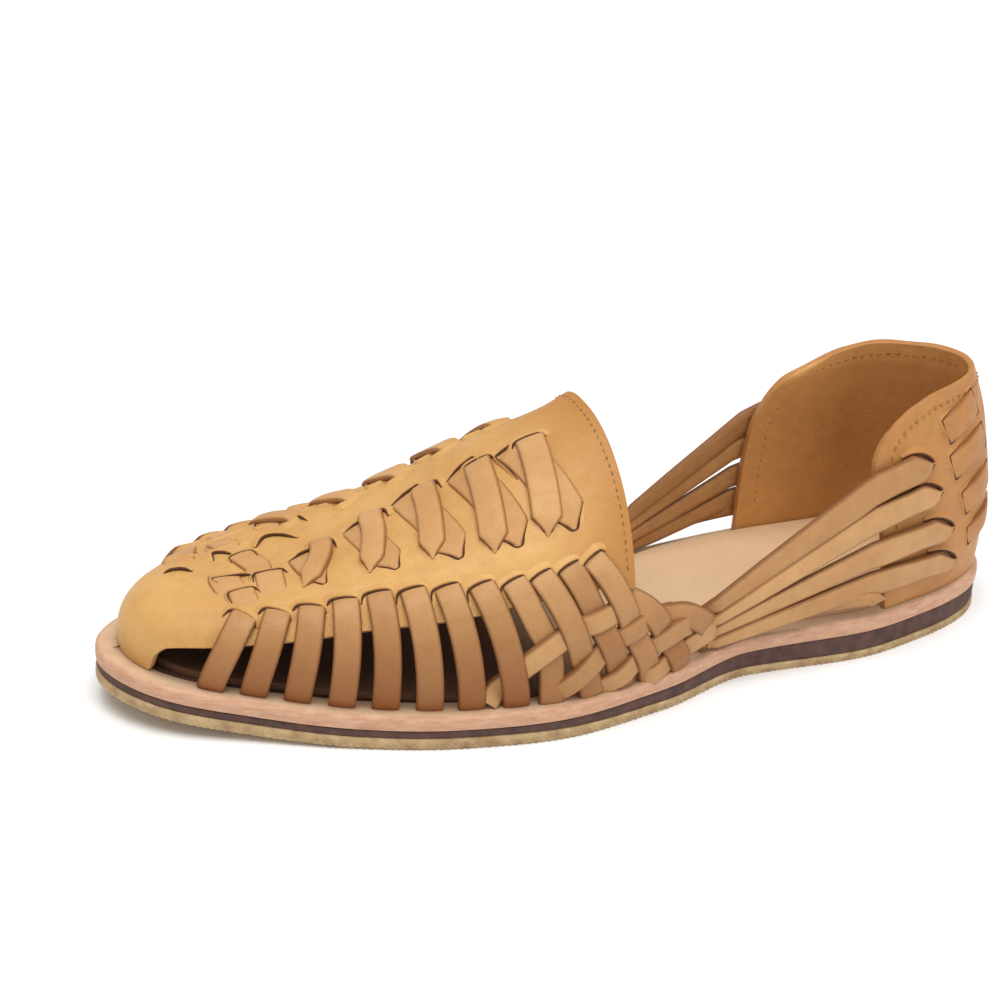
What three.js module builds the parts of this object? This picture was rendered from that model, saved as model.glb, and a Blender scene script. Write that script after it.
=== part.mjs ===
// Huarache sandal, the left shoe of a pair: a woven leather upper on a stitched flat sole.
// Millimetres. +Z is up, +X runs from the heel to the toe, +Y is the lateral (outer) side.
import * as THREE from "three";
import { mergeVertices } from "three/addons/utils/BufferGeometryUtils.js";

// Overall sizes, for about EU 39.
const SOLE_LENGTH = 265;
const BALL_HALF_WIDTH = 43;
const TOE_SPRING = 6.9; // rise of the sole's front tip
const SPRING_START = 0.72; // share of the length where the sole leaves the ground
const TIP_OFFSET = -6.8; // the almond tip lies this far to the medial side
const TIP_CURVE_START = 0.6;
const GAP = 0.3; // clear distance between neighbouring pieces

// Leather thicknesses.
const UPPER_WALL = 2.2;
const COUNTER_WALL = 2.6;
const STRAP_WALL = 2.2;
const INSOLE_THICKNESS = 1.8;

// How far the upper's foot line stands in from the edge of the sole.
const FEATHER = { heel: 1.5, toe: 6, side: 2.8 };
const INSOLE_INSET = { heel: 5.4, toe: 11.5, side: 7 };

// The heel cup turns about a vertical axis this far from the heel end.
const HEEL_AXIS_X = 38;
// In front of this section the toe's sections fan round to the tip.
const FAN_START_X = 185;
const FAN_CREST_X = 232; // where the crest of the toe ends
const FAN_POWER = 1.574; // keeps the crest's spacing even where the fan starts

// Plan of the sole: share of the length from the heel, and half-widths from the axis.
const SOLE_PLAN = [
  { along: 0, lateral: 0, medial: 0 },
  { along: 0.04, lateral: 19, medial: 19 },
  { along: 0.12, lateral: 28, medial: 29 },
  { along: 0.22, lateral: 33, medial: 29.5 },
  { along: 0.34, lateral: 31.8, medial: 28.1 },
  { along: 0.46, lateral: 41.4, medial: 22.8 },
  { along: 0.58, lateral: 46.6, medial: 33 },
  { along: 0.68, lateral: 43.6, medial: 43 },
  { along: 0.78, lateral: 36.6, medial: 45.5 },
  { along: 0.88, lateral: 26.7, medial: 38.8 },
  { along: 0.95, lateral: 19.3, medial: 23.4 },
  { along: 1, lateral: 0, medial: 0 },
];

// Heights of the sole's layers above the ground line, before the toe spring.
const SOLE_STACK = [
  { x: 0, crepe: 2.4, midsole: 8.6, welt: 13.3 },
  { x: 60, crepe: 2.5, midsole: 8.3, welt: 13 },
  { x: 120, crepe: 2.9, midsole: 6.6, welt: 11 },
  { x: 180, crepe: 3.3, midsole: 5.6, welt: 9.9 },
  { x: 265, crepe: 3.3, midsole: 5.6, welt: 9.9 },
];

// Sections of the last, outer face. crestZ and crestY place the top of each section; side
// and rise are the exponents of its quarter curves, and bulge swells its lower wall.
const LAST_SECTIONS = [
  { x: 0, crestZ: 110, crestY: 0, side: 2.1, rise: 1, bulge: 0.17 },
  { x: 38, crestZ: 110, crestY: 0, side: 1.8, rise: 1, bulge: 0.1 },
  { x: 60, crestZ: 104, crestY: 0, side: 1.35, rise: 1, bulge: 0.05 },
  { x: 90, crestZ: 96, crestY: 0, side: 1.15, rise: 1, bulge: 0.04 },
  { x: 115, crestZ: 86, crestY: 0, side: 1.05, rise: 0.95, bulge: 0.04 },
  { x: 134, crestZ: 76, crestY: -1, side: 0.95, rise: 0.9, bulge: 0.04 },
  { x: 160, crestZ: 63.5, crestY: 0, side: 0.9, rise: 0.85, bulge: 0.04 },
  { x: 185, crestZ: 48.5, crestY: 1, side: 0.82, rise: 0.8, bulge: 0.04 },
  { x: 210, crestZ: 40, crestY: -1, side: 0.75, rise: 0.8, bulge: 0.04 },
  { x: 230, crestZ: 36.4, crestY: -3.5, side: 0.7, rise: 0.8, bulge: 0.04 },
  { x: 245, crestZ: 35.2, crestY: -5.5, side: 0.66, rise: 0.8, bulge: 0.04 },
  { x: 259, crestZ: 35, crestY: -6, side: 0.62, rise: 0.85, bulge: 0.04 },
];

// Side strips of the vamp: where each stands on the sole and where it leaves its slit.
const STRIP_FOOT_HALF = 3.2;
const STRIP_SLIT_HALF = 3.4;
const SIDE_STRIPS = [
  { foot: 166.5, slit: 175.2 },
  { foot: 178.2, slit: 183.1 },
  { foot: 188.9, slit: 190.9 },
  { foot: 199.7, slit: 198.8 },
  { foot: 210.2, slit: 207.3 },
  { foot: 220.7, slit: 215.9 },
  { foot: 231, slit: 224.6 },
  { foot: 241.2, slit: 233.4 },
];

// Lines on the flank in degrees of section angle: the free edge of the vamp (behind the
// throat, the top of the waist weave) and the row of slits that the strips come out of.
const FLANK_LINES = [
  { x: 106, edge: 11.5, slit: 30 },
  { x: 115, edge: 13.5, slit: 31 },
  { x: 124, edge: 16.5, slit: 32 },
  { x: 134, edge: 23, slit: 34 },
  { x: 150, edge: 28, slit: 37 },
  { x: 172, edge: 31, slit: 43 },
  { x: 186, edge: 34, slit: 52 },
  { x: 204, edge: 37, slit: 59 },
  { x: 222, edge: 33, slit: 57 },
  { x: 240, edge: 27, slit: 53 },
  { x: 251, edge: 21, slit: 50 },
  { x: 259, edge: 16, slit: 48 },
];
const WEAVE_REAR_X = 106; // the waist weave ends here
const THROAT_X = 134; // the vamp's rear edge
const WEAVE_COLUMNS = [106, 111, 116, 122, 128, 134, 141, 148, 155, 161.5];
const TOE_COLUMNS = [253.5, 256.4, 258.3, 259]; // the toe cap reaches the sole from the first
const EDGE_ROWS = 4; // rows of faces from the sole to the free edge
const CREST_ROWS = 9; // rows from the free edge to the crest

// Rear straps, top to bottom: heights of both edges at the weave and at the counter, and
// how far they bow upwards between the two.
const STRAP_FRONT_X = WEAVE_REAR_X - GAP;
const REAR_STRAPS = [
  { frontLow: 22.6, frontHigh: 27.4, endX: 35, endLow: 51.5, endHigh: 60.5, bow: 6 },
  { frontLow: 19, frontHigh: 22.5, endX: 31, endLow: 43, endHigh: 51, bow: 5.4 },
  { frontLow: 15.6, frontHigh: 18.9, endX: 25, endLow: 30.5, endHigh: 38.5, bow: 5 },
  { frontLow: 12.3, frontHigh: 15.5, endX: 22, endLow: 19.5, endHigh: 27, bow: 4.6 },
];
const STRAP_COLUMNS = [98, 90, 82, 75, 68, 62, 56, 50, 45, 40, 35, 31, 28, 25, 22];
const STRAP_SPLIT = 1.2; // straps are one wall until their edges part by this much
// Behind these places they lie over the counter, and in front they are taut.
const STRAP_LIFT_X = { lateral: 56, medial: 68 };

// Heel counter: heights of its rim by share of the way from the back to the front corner,
// and its front edges by share of the height.
const COUNTER_RIM = [
  { round: 0, height: 75.5 },
  { round: 0.5, height: 74.8 },
  { round: 0.75, height: 73.9 },
  { round: 0.87, height: 72.4 },
  { round: 0.94, height: 70.6 },
  { round: 1, height: 68.5 },
];
const COUNTER_FRONT = [
  { up: 0, lateral: 47, medial: 66 },
  { up: 0.3, lateral: 50, medial: 66 },
  { up: 0.6, lateral: 53, medial: 65.5 },
  { up: 0.8, lateral: 55.3, medial: 62.5 },
  { up: 0.92, lateral: 52.5, medial: 58 },
  { up: 1, lateral: 48, medial: 50 },
];
const COUNTER_COLUMNS = 9; // per side
const COUNTER_ROWS = 11;

// A monotone cubic curve through two named columns of a table.
function curve(table, from, to) {
  const x = table.map((row) => row[from]);
  const y = table.map((row) => row[to]);
  const last = x.length - 1;
  const step = x.slice(1).map((value, i) => value - x[i]);
  const slope = step.map((width, i) => (y[i + 1] - y[i]) / width);
  const tangent = x.map((_, i) => {
    if (i === 0) return slope[0];
    if (i === last) return slope[last - 1];
    if (slope[i - 1] * slope[i] <= 0) return 0;
    const near = 2 * step[i] + step[i - 1];
    const far = step[i] + 2 * step[i - 1];
    return (near + far) / (near / slope[i - 1] + far / slope[i]);
  });
  return (at) => {
    const value = THREE.MathUtils.clamp(at, x[0], x[last]);
    let i = 0;
    while (i < last - 1 && value > x[i + 1]) i += 1;
    const t = (value - x[i]) / step[i];
    const hermite00 = (1 + 2 * t) * (1 - t) ** 2;
    const hermite10 = t * (1 - t) ** 2;
    const hermite01 = t * t * (3 - 2 * t);
    const hermite11 = t * t * (t - 1);
    return (
      hermite00 * y[i] +
      hermite10 * step[i] * tangent[i] +
      hermite01 * y[i + 1] +
      hermite11 * step[i] * tangent[i + 1]
    );
  };
}

// Turns a share of the length into an angle, so that half-widths end round at both tips.
const turn = (share) => Math.acos(THREE.MathUtils.clamp(1 - 2 * share, -1, 1));

const planByTurn = SOLE_PLAN.map((row) => ({ ...row, turn: turn(row.along) }));
const lateralHalf = curve(planByTurn, "turn", "lateral");
const medialHalf = curve(planByTurn, "turn", "medial");
const crepeTop = curve(SOLE_STACK, "x", "crepe");
const midsoleTop = curve(SOLE_STACK, "x", "midsole");
const weltTop = curve(SOLE_STACK, "x", "welt");
const crestZ = curve(LAST_SECTIONS, "x", "crestZ");
const crestY = curve(LAST_SECTIONS, "x", "crestY");
const sidePower = curve(LAST_SECTIONS, "x", "side");
const risePower = curve(LAST_SECTIONS, "x", "rise");
const bulge = curve(LAST_SECTIONS, "x", "bulge");
const freeEdge = curve(FLANK_LINES, "x", "edge");
const slitLine = curve(FLANK_LINES, "x", "slit");
const counterRim = curve(COUNTER_RIM, "round", "height");
const lateralFront = curve(COUNTER_FRONT, "up", "lateral");
const medialFront = curve(COUNTER_FRONT, "up", "medial");

// Height that the toe spring adds to every layer at a distance x from the heel.
function spring(x) {
  const run = (x / SOLE_LENGTH - SPRING_START) / (1 - SPRING_START);
  return TOE_SPRING * THREE.MathUtils.clamp(run, 0, 1) ** 2;
}

// Point of the sole's plan: side is 1 for lateral and -1 for medial, share runs from the
// heel to the tip, and inset gives the distance in from the edge at heel, toe and sides.
function planPoint(side, share, inset) {
  const angle = turn(share);
  const half = (lateralHalf(angle) + medialHalf(angle)) / 2;
  const run = (share - TIP_CURVE_START) / (1 - TIP_CURVE_START);
  const bend = TIP_OFFSET * THREE.MathUtils.clamp(run, 0, 1) ** 2;
  const middle = (lateralHalf(angle) - medialHalf(angle)) / 2 + bend;
  const x = inset.heel + (SOLE_LENGTH - inset.heel - inset.toe) * share;
  const y = middle + side * half * (1 - inset.side / BALL_HALF_WIDTH);
  return new THREE.Vector3(x, y, 0);
}

// Ends of the upper's foot line along X, and the share of the way between them.
const FOOT_LENGTH = SOLE_LENGTH - FEATHER.heel - FEATHER.toe;
const TIP_X = SOLE_LENGTH - FEATHER.toe;
const shareAt = (x) => (x - FEATHER.heel) / FOOT_LENGTH;

function footLinePoint(side, x) {
  const point = planPoint(side, shareAt(x), FEATHER);
  point.z = weltTop(x) + spring(x) + GAP;
  return point;
}

// Top of the section whose foot stands at x.
function crestPoint(x) {
  const reach = TIP_X - FAN_START_X;
  const run = THREE.MathUtils.clamp((x - FAN_START_X) / reach, 0, 1);
  const fan = (FAN_CREST_X - FAN_START_X) * (1 - (1 - run) ** FAN_POWER);
  const crestX = x > FAN_START_X ? FAN_START_X + fan : Math.max(x, HEEL_AXIS_X);
  return new THREE.Vector3(crestX, crestY(x), crestZ(x));
}

// Outer face of the last. rise is the section angle: 0 at the sole, 90 degrees at the
// crest, and beyond it down the other side.
function lastPoint(side, x, rise) {
  if (rise > Math.PI / 2) return lastPoint(-side, x, Math.PI - rise);
  const foot = footLinePoint(side, x);
  const crest = crestPoint(x);
  const cosine = Math.max(Math.cos(rise), 0);
  const out = cosine ** sidePower(x) + bulge(x) * Math.sin(2 * rise);
  const up = Math.max(Math.sin(rise), 0) ** risePower(x);
  return new THREE.Vector3(
    crest.x + (foot.x - crest.x) * out,
    crest.y + (foot.y - crest.y) * out,
    foot.z + (crest.z - foot.z) * up,
  );
}

// The section angle at which the last reaches a height.
function riseAt(side, x, height) {
  const foot = footLinePoint(side, x);
  const share = (height - foot.z) / (crestZ(x) - foot.z);
  return Math.asin(THREE.MathUtils.clamp(share, 0, 1) ** (1 / risePower(x)));
}

// The last point by its turn round the foot line: 0 at the toe tip and half a turn at the
// heel, positive on the lateral side, so that differences across both ends stay smooth.
function lastPointByTurn(around, rise) {
  const share = (1 + Math.cos(around)) / 2;
  const x = FEATHER.heel + FOOT_LENGTH * share;
  return lastPoint(Math.sin(around) < 0 ? -1 : 1, x, rise);
}

// Outward normal of the last. All sections meet where the toe's crest ends, so on the crest
// the slope is taken no nearer the tip than this turn.
const CREST_TURN_LEAST = 0.3;
function lastNormal(side, x, rise) {
  const delta = 0.01;
  const onCrest = Math.abs(rise - Math.PI / 2) < delta;
  const flip = rise > Math.PI / 2 ? -side : side;
  const around = flip * Math.acos(THREE.MathUtils.clamp(2 * shareAt(x) - 1, -1, 1));
  const kept = onCrest ? Math.max(Math.abs(around), CREST_TURN_LEAST) : around;
  const climb = rise > Math.PI / 2 ? Math.PI - rise : rise;
  const low = Math.max(climb - delta, 0);
  const along = lastPointByTurn(kept + delta, climb).sub(lastPointByTurn(kept - delta, climb));
  const across = lastPointByTurn(kept, climb + delta).sub(lastPointByTurn(kept, low));
  const normal = along.cross(across).normalize();
  const foot = footLinePoint(1, x).add(footLinePoint(-1, x)).multiplyScalar(0.5);
  const away = lastPoint(side, x, rise).sub(foot);
  return normal.dot(away) < 0 ? normal.negate() : normal;
}

// A point under (depth > 0) or above (depth < 0) the outer face of the last.
function offsetPoint(side, x, rise, depth) {
  const normal = lastNormal(side, x, rise);
  return lastPoint(side, x, rise).addScaledVector(normal, -depth);
}

// Closed mesh from a list of polygons, each a loop of points; turned to face outwards.
function solidFrom(polygons) {
  const positions = [];
  for (const loop of polygons) {
    for (let k = 1; k < loop.length - 1; k += 1) {
      for (const point of [loop[0], loop[k], loop[k + 1]]) positions.push(...point.toArray());
    }
  }
  const soup = new THREE.BufferGeometry();
  soup.setAttribute("position", new THREE.Float32BufferAttribute(positions, 3));
  const geometry = mergeVertices(soup, 1e-3);
  const index = geometry.index.array;
  const at = (k) => new THREE.Vector3().fromBufferAttribute(geometry.attributes.position, k);
  const kept = [];
  let volume = 0;
  for (let k = 0; k < index.length; k += 3) {
    const [a, b, c] = [index[k], index[k + 1], index[k + 2]];
    if (a === b || b === c || c === a) continue;
    kept.push(a, b, c);
    volume += at(a).dot(at(b).cross(at(c))) / 6;
  }
  geometry.setIndex(volume < 0 ? kept.reverse() : kept);
  geometry.computeVertexNormals();
  return geometry;
}

// A wall on a grid of points. outer and inner give the faces at column i and row j, filled
// says which cells exist, and a tip seam joins the last column to its own mirror image.
function wallFromGrid({ columns, rows, outer, inner, filled, tipSeam = false }) {
  const isFilled = (i, j) => i >= 0 && j >= 0 && i < columns && j < rows && filled(i, j);
  const grid = (face) =>
    Array.from({ length: columns + 1 }, (_, i) =>
      Array.from({ length: rows + 1 }, (_, j) => face(i, j)),
    );
  const faces = { outer: grid(outer), inner: grid(inner) };
  const polygons = [];
  for (let i = 0; i < columns; i += 1) {
    for (let j = 0; j < rows; j += 1) {
      if (!isFilled(i, j)) continue;
      const corners = [
        [i, j],
        [i + 1, j],
        [i + 1, j + 1],
        [i, j + 1],
      ];
      const neighbours = [
        [i, j - 1],
        [i + 1, j],
        [i, j + 1],
        [i - 1, j],
      ];
      polygons.push(corners.map(([a, b]) => faces.outer[a][b]));
      polygons.push(corners.map(([a, b]) => faces.inner[a][b]).reverse());
      neighbours.forEach(([a, b], side) => {
        const onSeam = tipSeam && a === columns;
        if (onSeam || isFilled(a, b)) return;
        const [p, q] = [corners[side], corners[(side + 1) % 4]];
        polygons.push([
          faces.outer[q[0]][q[1]],
          faces.outer[p[0]][p[1]],
          faces.inner[p[0]][p[1]],
          faces.inner[q[0]][q[1]],
        ]);
      });
    }
  }
  return solidFrom(polygons);
}

// One layer of the sole between two height curves. edge lists the side wall's rings from
// the bottom up: how far each stands in and its share of the thickness.
const PLAN_STEPS = 40;
function soleLayer({ inset, bottom, top, edge }) {
  const rings = edge.map(({ inward, up }) => {
    const reach = {
      heel: inset.heel + inward,
      toe: inset.toe + inward,
      side: inset.side + inward,
    };
    const point = (side, step) => {
      const share = (1 - Math.cos((Math.PI * step) / PLAN_STEPS)) / 2;
      const place = planPoint(side, share, reach);
      const low = bottom(place.x);
      place.z = spring(place.x) + low + (top(place.x) - low) * up;
      return place;
    };
    return [1, -1].map((side) =>
      Array.from({ length: PLAN_STEPS + 1 }, (_, step) => point(side, step)),
    );
  });
  const polygons = [];
  const [foot, head] = [rings[0], rings[rings.length - 1]];
  for (let k = 0; k < PLAN_STEPS; k += 1) {
    polygons.push([foot[0][k], foot[0][k + 1], foot[1][k + 1], foot[1][k]]);
    polygons.push([head[0][k], head[0][k + 1], head[1][k + 1], head[1][k]].reverse());
    for (let ring = 0; ring < rings.length - 1; ring += 1) {
      const [low, high] = [rings[ring], rings[ring + 1]];
      polygons.push([low[0][k], low[0][k + 1], high[0][k + 1], high[0][k]].reverse());
      polygons.push([low[1][k], low[1][k + 1], high[1][k + 1], high[1][k]]);
    }
  }
  return solidFrom(polygons);
}

const FLUSH = { heel: 0, toe: 0, side: 0 };
const SQUARE_EDGE = [
  { inward: 0, up: 0 },
  { inward: 0, up: 1 },
];

function outsoleGeometry() {
  return soleLayer({ inset: FLUSH, bottom: () => 0, top: crepeTop, edge: SQUARE_EDGE });
}

function midsoleGeometry() {
  return soleLayer({
    inset: FLUSH,
    bottom: (x) => crepeTop(x) + GAP,
    top: midsoleTop,
    edge: SQUARE_EDGE,
  });
}

// The welt's upper edge is rounded over.
function weltGeometry() {
  const rounded = [
    { inward: 0.2, up: 0 },
    { inward: 0, up: 0.15 },
    { inward: 0, up: 0.7 },
    { inward: 0.4, up: 0.92 },
    { inward: 1.3, up: 1 },
  ];
  return soleLayer({
    inset: FLUSH,
    bottom: (x) => midsoleTop(x) + GAP,
    top: weltTop,
    edge: rounded,
  });
}

// The insole lies on the welt, inside the foot line of the upper.
function insoleGeometry() {
  return soleLayer({
    inset: INSOLE_INSET,
    bottom: (x) => weltTop(x) + GAP,
    top: (x) => weltTop(x) + GAP + INSOLE_THICKNESS,
    edge: SQUARE_EDGE,
  });
}

// Column lines of the upper: where each stands on the sole, where it passes the slits,
// and what fills the flank in front of it.
function upperColumns() {
  const columns = WEAVE_COLUMNS.map((x) => ({ foot: x, slit: x, fill: true }));
  SIDE_STRIPS.forEach(({ foot, slit }, k) => {
    columns[columns.length - 1].fill = k === 0;
    columns.push({ foot: foot - STRIP_FOOT_HALF, slit: slit - STRIP_SLIT_HALF, fill: true });
    columns.push({ foot, slit, fill: true });
    columns.push({ foot: foot + STRIP_FOOT_HALF, slit: slit + STRIP_SLIT_HALF, fill: false });
  });
  TOE_COLUMNS.forEach((x) => columns.push({ foot: x, slit: x, fill: true }));
  return columns;
}

// Vamp, side strips and waist weave: one wall, open underneath, at the throat, at the toe
// holes and between the strips.
function upperGeometry() {
  const columns = upperColumns();
  const half = EDGE_ROWS + CREST_ROWS;
  const riseOf = (x, row) => {
    const edge = THREE.MathUtils.degToRad(freeEdge(x));
    if (row <= EDGE_ROWS) return (edge * row) / EDGE_ROWS;
    return edge + ((Math.PI / 2 - edge) * (row - EDGE_ROWS)) / CREST_ROWS;
  };
  const face = (depth) => (i, j) => {
    const side = j <= half ? 1 : -1;
    const row = j <= half ? j : 2 * half - j;
    const { foot, slit } = columns[i];
    const rise = riseOf((foot + slit) / 2, row);
    const toSlit = rise / THREE.MathUtils.degToRad(slitLine(slit));
    const x = foot + (slit - foot) * Math.min(toSlit, 1);
    return offsetPoint(side, x, rise, depth);
  };
  const filled = (i, j) => {
    const row = j < half ? j : 2 * half - 1 - j;
    if (row < EDGE_ROWS) return columns[i].fill;
    return columns[i].foot >= THROAT_X;
  };
  return wallFromGrid({
    columns: columns.length - 1,
    rows: 2 * half,
    outer: face(0),
    inner: face(UPPER_WALL),
    filled,
    tipSeam: true,
  });
}

// The rear straps of one side: a band at the weave that parts into four straps, which lie
// on the outside of the counter.
function rearStrapsGeometry(side) {
  const columns = [STRAP_FRONT_X, ...STRAP_COLUMNS];
  const liftX = side > 0 ? STRAP_LIFT_X.lateral : STRAP_LIFT_X.medial;
  const bottomUp = [...REAR_STRAPS].reverse();
  const edgeHeight = (strap, edge, x) => {
    const run = (STRAP_FRONT_X - x) / (STRAP_FRONT_X - strap.endX);
    const level = THREE.MathUtils.lerp(strap["front" + edge], strap["end" + edge], run);
    return level + strap.bow * 4 * run * (1 - run);
  };
  const rowHeight = (j, x) => edgeHeight(bottomUp[j >> 1], j % 2 ? "High" : "Low", x);
  const onLast = (j, x, depth) =>
    offsetPoint(side, x, riseAt(side, x, rowHeight(j, x)), depth);
  const face = (depth) => (i, j) => {
    const x = columns[i];
    const overCounter = depth - STRAP_WALL - GAP;
    if (x <= liftX) return onLast(j, x, overCounter);
    const run = (x - liftX) / (STRAP_FRONT_X - liftX);
    return onLast(j, liftX, overCounter).lerp(onLast(j, STRAP_FRONT_X, depth), run);
  };
  const filled = (i, j) => {
    const strapEnds = (strap) => columns[i + 1] < strap.endX;
    if (j % 2 === 0) return !strapEnds(bottomUp[j / 2]);
    const [low, high] = [bottomUp[(j - 1) / 2], bottomUp[(j + 1) / 2]];
    const parted = rowHeight(j + 1, columns[i + 1]) - rowHeight(j, columns[i + 1]);
    return !strapEnds(low) && !strapEnds(high) && parted < STRAP_SPLIT;
  };
  return wallFromGrid({
    columns: columns.length - 1,
    rows: 2 * bottomUp.length - 1,
    outer: face(0),
    inner: face(STRAP_WALL),
    filled,
  });
}

// Heel counter: a cup round the heel, open above and in front.
function counterGeometry() {
  const face = (depth) => (i, j) => {
    const round = (i - COUNTER_COLUMNS) / COUNTER_COLUMNS;
    const side = round < 0 ? -1 : 1;
    const up = j / COUNTER_ROWS;
    const reach = 1 - Math.cos((Math.abs(round) * Math.PI) / 2);
    const front = side < 0 ? medialFront(up) : lateralFront(up);
    const x = FEATHER.heel + (front - FEATHER.heel) * reach;
    const foot = footLinePoint(side, x).z;
    const height = foot + (counterRim(Math.abs(round)) - foot) * up;
    return offsetPoint(side, x, riseAt(side, x, height), depth);
  };
  return wallFromGrid({
    columns: 2 * COUNTER_COLUMNS,
    rows: COUNTER_ROWS,
    outer: face(0),
    inner: face(COUNTER_WALL),
    filled: () => true,
  });
}

function piece(name, geometry, color, roughness) {
  const material = new THREE.MeshStandardMaterial({ color, roughness, metalness: 0 });
  const mesh = new THREE.Mesh(geometry, material);
  mesh.name = name;
  return mesh;
}

const sandal = new THREE.Group();
sandal.name = "huarache_sandal_left";
sandal.add(
  piece("outsole", outsoleGeometry(), 0xbea06e, 0.9),
  piece("midsole", midsoleGeometry(), 0x553c37, 0.7),
  piece("welt", weltGeometry(), 0xcd9678, 0.65),
  piece("insole", insoleGeometry(), 0xd4b48c, 0.6),
  piece("upper", upperGeometry(), 0xe4b270, 0.45),
  piece("heel_counter", counterGeometry(), 0xc88c55, 0.5),
  piece("rear_straps_lateral", rearStrapsGeometry(1), 0xc38c57, 0.5),
  piece("rear_straps_medial", rearStrapsGeometry(-1), 0xc38c57, 0.5),
);

// The origin is the middle of the sole's box, on the ground.
const box = new THREE.Box3().setFromObject(sandal);
const centre = box.getCenter(new THREE.Vector3());
sandal.position.set(-centre.x, -centre.y, -box.min.z);

export default sandal;
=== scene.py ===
"""Looks of a left huarache sandal: leather strips woven through a vamp and a heel counter.

Sizes are in millimetres from the back of the heel, until to_frame() turns them into the
frame's metres. A place on the upper is (x, rise): x is where its section stands on the sole,
and rise is the section's angle, 0 at the lateral foot line, 90 on the crest and 180 at the
medial foot line.
"""
import math

import bmesh
import bpy
import numpy as np
from mathutils import Matrix, Vector


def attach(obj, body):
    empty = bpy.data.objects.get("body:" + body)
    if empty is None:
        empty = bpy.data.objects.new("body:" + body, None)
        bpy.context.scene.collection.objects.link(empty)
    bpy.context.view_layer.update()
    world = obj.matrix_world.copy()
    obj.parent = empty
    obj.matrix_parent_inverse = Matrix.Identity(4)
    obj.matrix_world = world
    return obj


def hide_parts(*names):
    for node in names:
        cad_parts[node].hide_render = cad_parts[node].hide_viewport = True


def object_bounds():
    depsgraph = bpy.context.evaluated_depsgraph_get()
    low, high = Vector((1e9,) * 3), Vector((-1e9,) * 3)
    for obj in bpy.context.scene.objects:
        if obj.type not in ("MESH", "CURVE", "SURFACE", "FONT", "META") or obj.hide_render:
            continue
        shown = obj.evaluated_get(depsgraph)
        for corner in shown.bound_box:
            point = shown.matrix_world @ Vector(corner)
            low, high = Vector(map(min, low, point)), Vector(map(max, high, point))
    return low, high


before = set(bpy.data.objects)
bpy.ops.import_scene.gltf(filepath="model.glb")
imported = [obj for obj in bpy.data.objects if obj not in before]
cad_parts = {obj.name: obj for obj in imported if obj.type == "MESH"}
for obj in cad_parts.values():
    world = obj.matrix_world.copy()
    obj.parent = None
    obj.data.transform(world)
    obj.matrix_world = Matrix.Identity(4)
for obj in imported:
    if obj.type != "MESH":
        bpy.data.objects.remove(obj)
cad_low, cad_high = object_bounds()

# ---- sizes, as in the CAD source
SOLE_LENGTH = 265
BALL_HALF_WIDTH = 43
TOE_SPRING, SPRING_START = 6.9, 0.72
TIP_OFFSET, TIP_CURVE_START = -6.8, 0.6
GAP = 0.3
# Insets of the sole's plan at heel, toe and sides.
FLUSH = (0, 0, 0)
FEATHER = (1.5, 6, 2.8)
INSOLE_INSET = (5.4, 11.5, 7)
HEEL_AXIS_X = 38
FAN_START_X, FAN_CREST_X, FAN_POWER = 185, 232, 1.574
CREST_TURN_LEAST = 0.3
THROAT_X = 134
WEAVE_REAR_X = 106
UPPER_WALL, COUNTER_WALL, STRAP_WALL = 2.2, 2.6, 2.2
STRAP_FRONT_X = WEAVE_REAR_X - GAP
STRAP_LIFT_X = {1: 56, -1: 68}  # where a strap leaves the counter, by side
STRIP_WALL = 1.9

# Share of the length, lateral half-width, medial half-width.
SOLE_PLAN = [
    (0, 0, 0), (0.04, 19, 19), (0.12, 28, 29), (0.22, 33, 29.5), (0.34, 31.8, 28.1),
    (0.46, 41.4, 22.8), (0.58, 46.6, 33), (0.68, 43.6, 43), (0.78, 36.6, 45.5),
    (0.88, 26.7, 38.8), (0.95, 19.3, 23.4), (1, 0, 0),
]
# x, tops of the crepe, the midsole and the welt.
SOLE_STACK = [
    (0, 2.4, 8.6, 13.3), (60, 2.5, 8.3, 13), (120, 2.9, 6.6, 11), (180, 3.3, 5.6, 9.9),
    (265, 3.3, 5.6, 9.9),
]
# x, crest height, crest y, powers of the side and rise curves, bulge.
LAST_SECTIONS = [
    (0, 110, 0, 2.1, 1, 0.17), (38, 110, 0, 1.8, 1, 0.1), (60, 104, 0, 1.35, 1, 0.05),
    (90, 96, 0, 1.15, 1, 0.04), (115, 86, 0, 1.05, 0.95, 0.04),
    (134, 76, -1, 0.95, 0.9, 0.04), (160, 63.5, 0, 0.9, 0.85, 0.04),
    (185, 48.5, 1, 0.82, 0.8, 0.04), (210, 40, -1, 0.75, 0.8, 0.04),
    (230, 36.4, -3.5, 0.7, 0.8, 0.04), (245, 35.2, -5.5, 0.66, 0.8, 0.04),
    (259, 35, -6, 0.62, 0.85, 0.04),
]
# x, rise of the vamp's free edge, rise of the row of slits.
FLANK_LINES = [
    (106, 11.5, 30), (115, 13.5, 31), (124, 16.5, 32), (134, 23, 34), (150, 28, 37),
    (172, 31, 43), (186, 34, 52), (204, 37, 59), (222, 33, 57), (240, 27, 53),
    (251, 20, 50), (253.2, 12, 49), (254.6, 0, 48), (259, 0, 48),
]
# Share of the way round, rim height; and share of the height, x of both front edges.
COUNTER_RIM = [(0, 75.5), (0.5, 74.8), (0.75, 73.9), (0.87, 72.4), (0.94, 70.6), (1, 68.5)]
COUNTER_FRONT = [
    (0, 47, 66), (0.3, 50, 66), (0.6, 53, 65.5), (0.8, 55.3, 62.5), (0.92, 52.5, 58),
    (1, 48, 50),
]

# ---- the weave
# Side strips of the flank: foot x, slit x.
SIDE_STRIPS = [
    (166.5, 175.2), (178.2, 183.1), (188.9, 190.9), (199.7, 198.8),
    (210.2, 207.3), (220.7, 215.9), (231, 224.6), (241.2, 233.4),
]
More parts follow.
